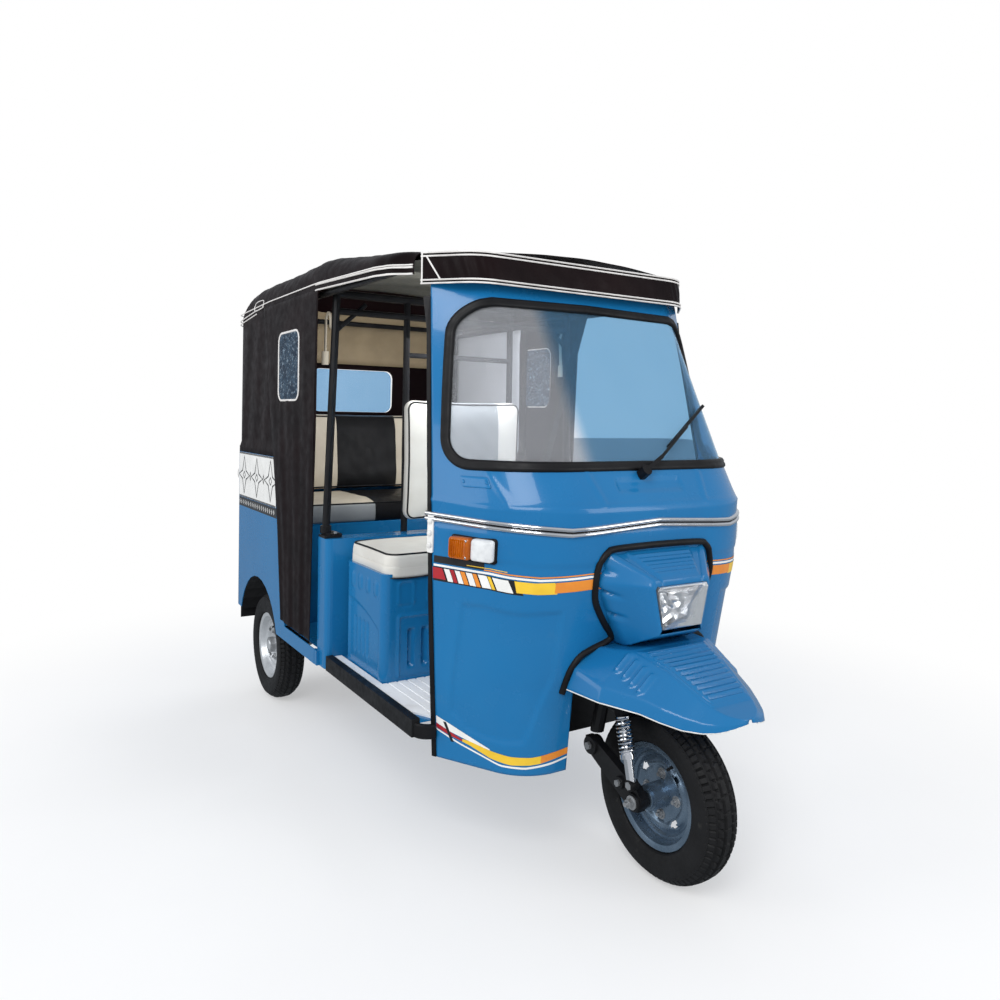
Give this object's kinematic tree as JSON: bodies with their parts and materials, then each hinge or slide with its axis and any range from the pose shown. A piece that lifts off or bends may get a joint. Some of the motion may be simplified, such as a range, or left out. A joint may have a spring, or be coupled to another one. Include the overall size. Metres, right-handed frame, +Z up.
{
  "type": "auto rickshaw",
  "caption": "Three-wheeled passenger auto rickshaw with open sides, cloth canopy, handlebar steering and turning wheels.",
  "frame": {"origin": "bottom centre of the vehicle's bounding box, on the ground", "axes": "+X forward, +Y to the vehicle's left, +Z up"},
  "size_m": [2.672, 1.21, 1.912],
  "materials": {
    "body_blue": "gloss",
    "chrome": "polished",
    "white_mat": "satin",
    "clear_lens": "clear",
    "amber_lens": "gloss",
    "red_lens": "gloss",
    "glass": "clear",
    "black_rubber": "satin",
    "black_steel": "satin",
    "canopy_cloth": "matte",
    "white_vinyl": "satin",
    "cast_alloy": "cast",
    "tyre": "matte",
    "rim_paint": "satin"
  },
  "bodies": {
    "body": {"front_cowl": "body_blue", "windscreen": "glass", "windscreen_seal": "black_rubber", "cowl_band": "chrome", "door_edge_rubbers": "black_rubber", "floor_pan": "body_blue", "wheel_arch": "body_blue", "floor_mat": "white_mat", "chassis_frame": "black_steel", "bulkhead": "body_blue", "rear_body": "body_blue", "rear_wheel_housings": "black_steel", "mud_flaps": "black_rubber", "driver_seat_box": "body_blue", "driver_seat_cushion": "white_vinyl", "rear_seat_base": "body_blue", "rear_seat_cushion": "white_vinyl", "rear_seat_back": "white_vinyl", "roof_frame": "black_steel", "driver_backrest": "white_vinyl", "canopy": "canopy_cloth", "rear_window": "glass", "side_curtains": "canopy_cloth", "curtain_windows": "glass", "visor": "canopy_cloth", "nose_nacelle": "body_blue", "headlamp": "clear_lens", "front_mudguard": "body_blue", "front_indicators": "amber_lens", "rear_arms": "black_steel", "rear_shocks": "black_steel", "engine_block": "cast_alloy", "exhaust": "black_steel", "rear_lamps": "red_lens"},
    "steering": {"fork_leg": "black_steel", "front_link": "black_steel", "front_shock": "chrome", "handlebar": "black_steel"},
    "front_wheel": {"front_tyre": "tyre", "front_rim": "rim_paint", "front_hub": "cast_alloy"},
    "rear_right_wheel": {"rear_right_tyre": "tyre", "rear_right_rim": "rim_paint", "rear_right_hub": "cast_alloy"},
    "rear_left_wheel": {"rear_left_tyre": "tyre", "rear_left_rim": "rim_paint", "rear_left_hub": "cast_alloy"}
  },
  "joints": [
    {"name": "steering", "type": "hinge", "parent": "body", "child": "steering", "pos_m": [0.995, 0, 0.235], "axis": [-0.2756, 0, 0.9613], "range_deg": [-38, 38]},
    {"name": "front_wheel_spin", "type": "hinge", "parent": "steering", "child": "front_wheel", "pos_m": [1.031, 0, 0.235], "axis": [0, 1, 0], "continuous": true},
    {"name": "rear_right_wheel_spin", "type": "hinge", "parent": "body", "child": "rear_right_wheel", "pos_m": [-0.914, -0.506, 0.235], "axis": [0, 1, 0], "continuous": true},
    {"name": "rear_left_wheel_spin", "type": "hinge", "parent": "body", "child": "rear_left_wheel", "pos_m": [-0.914, 0.506, 0.235], "axis": [0, 1, 0], "continuous": true}
  ]
}
